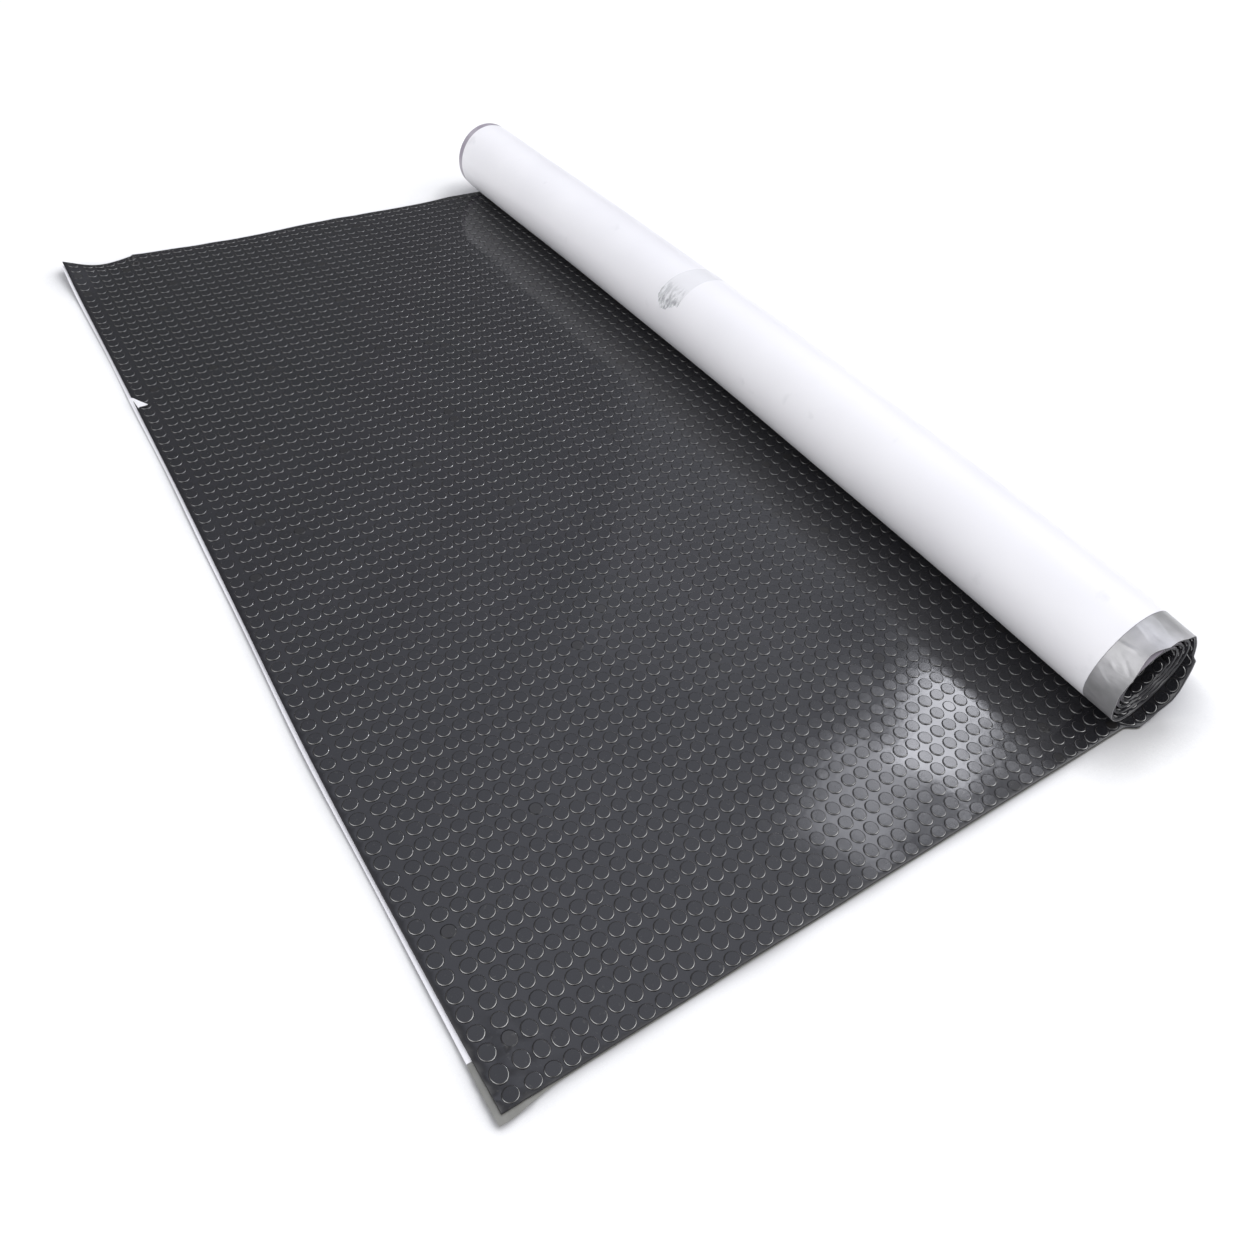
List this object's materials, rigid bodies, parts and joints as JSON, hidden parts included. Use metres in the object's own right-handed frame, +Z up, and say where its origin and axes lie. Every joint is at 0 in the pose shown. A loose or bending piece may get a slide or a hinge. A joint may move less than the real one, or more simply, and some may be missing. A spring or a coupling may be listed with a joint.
{
  "type": "studded floor mat roll",
  "caption": "Self-adhesive studded rubber floor mat, partly unrolled, with a paper release liner, a silver edge tape and a hollow roll.",
  "frame": {"origin": "middle of the ground that the mat covers, in the plane that the mat lies on", "axes": "+X from the free edge towards the roll, +Y along the roll from the edge with the silver tape, +Z up"},
  "size_m": [0.5564, 1.005, 0.0843],
  "materials": {
    "studded_rubber": "semi-gloss moulded rubber with low round studs",
    "paper_liner": "smooth coated white release paper",
    "silver_tape": "soft silver film, wrinkled",
    "clear_film": "clear packing film, dusty at its torn end"
  },
  "bodies": {
    "main": {"studded_sheet_main": "studded_rubber", "liner_main": "paper_liner", "edge_tape_main": "silver_tape"},
    "edge_flap": {"studded_sheet_flap": "studded_rubber", "edge_tape_flap": "silver_tape"},
    "liner_flap": {"liner_flap": "paper_liner"},
    "panel_1": {"studded_sheet_panel_1": "studded_rubber", "liner_panel_1": "paper_liner", "edge_tape_panel_1": "silver_tape"},
    "panel_2": {"studded_sheet_panel_2": "studded_rubber", "liner_panel_2": "paper_liner", "edge_tape_panel_2": "silver_tape"},
    "panel_3": {"studded_sheet_panel_3": "studded_rubber", "liner_panel_3": "paper_liner", "edge_tape_panel_3": "silver_tape"},
    "panel_4": {"studded_sheet_panel_4": "studded_rubber", "liner_panel_4": "paper_liner", "edge_tape_panel_4": "silver_tape"},
    "panel_5": {"studded_sheet_panel_5": "studded_rubber", "liner_panel_5": "paper_liner", "edge_tape_panel_5": "silver_tape"},
    "roll": {"studded_sheet_roll": "studded_rubber", "liner_roll": "paper_liner", "edge_tape_roll": "silver_tape", "clear_tape": "clear_film"}
  },
  "joints": [
    {"name": "edge_lift", "type": "hinge", "parent": "main", "child": "edge_flap", "pos_m": [-0.1637, 0, 0.003], "axis": [0, 1, 0], "range_deg": [0, 70]},
    {"name": "liner_peel", "type": "hinge", "parent": "main", "child": "liner_flap", "pos_m": [-0.1637, 0, 0.0003], "axis": [0, 1, 0], "range_deg": [0, 24.5]},
    {"name": "roll_up", "type": "hinge", "parent": "main", "child": "panel_1", "pos_m": [0.10698, 0, 0.003], "axis": [0, -1, 0], "range_deg": [0, 32]},
    {"name": "curl_2", "type": "hinge", "parent": "panel_1", "child": "panel_2", "pos_m": [0.13049, 0, 0.003], "axis": [0, -1, 0], "range_deg": [0, 32]},
    {"name": "curl_3", "type": "hinge", "parent": "panel_2", "child": "panel_3", "pos_m": [0.154, 0, 0.003], "axis": [0, -1, 0], "range_deg": [0, 32]},
    {"name": "curl_4", "type": "hinge", "parent": "panel_3", "child": "panel_4", "pos_m": [0.17752, 0, 0.003], "axis": [0, -1, 0], "range_deg": [0, 32]},
    {"name": "curl_5", "type": "hinge", "parent": "panel_4", "child": "panel_5", "pos_m": [0.20103, 0, 0.003], "axis": [0, -1, 0], "range_deg": [0, 32]},
    {"name": "curl_6", "type": "hinge", "parent": "panel_5", "child": "roll", "pos_m": [0.22454, 0, 0.003], "axis": [0, -1, 0], "range_deg": [0, 32]}
  ],
  "couplings": [
    {"joint": "liner_peel", "follows": "edge_lift", "ratio": 0.35},
    {"joint": "curl_2", "follows": "roll_up", "ratio": 1},
    {"joint": "curl_3", "follows": "roll_up", "ratio": 1},
    {"joint": "curl_4", "follows": "roll_up", "ratio": 1},
    {"joint": "curl_5", "follows": "roll_up", "ratio": 1},
    {"joint": "curl_6", "follows": "roll_up", "ratio": 1}
  ]
}
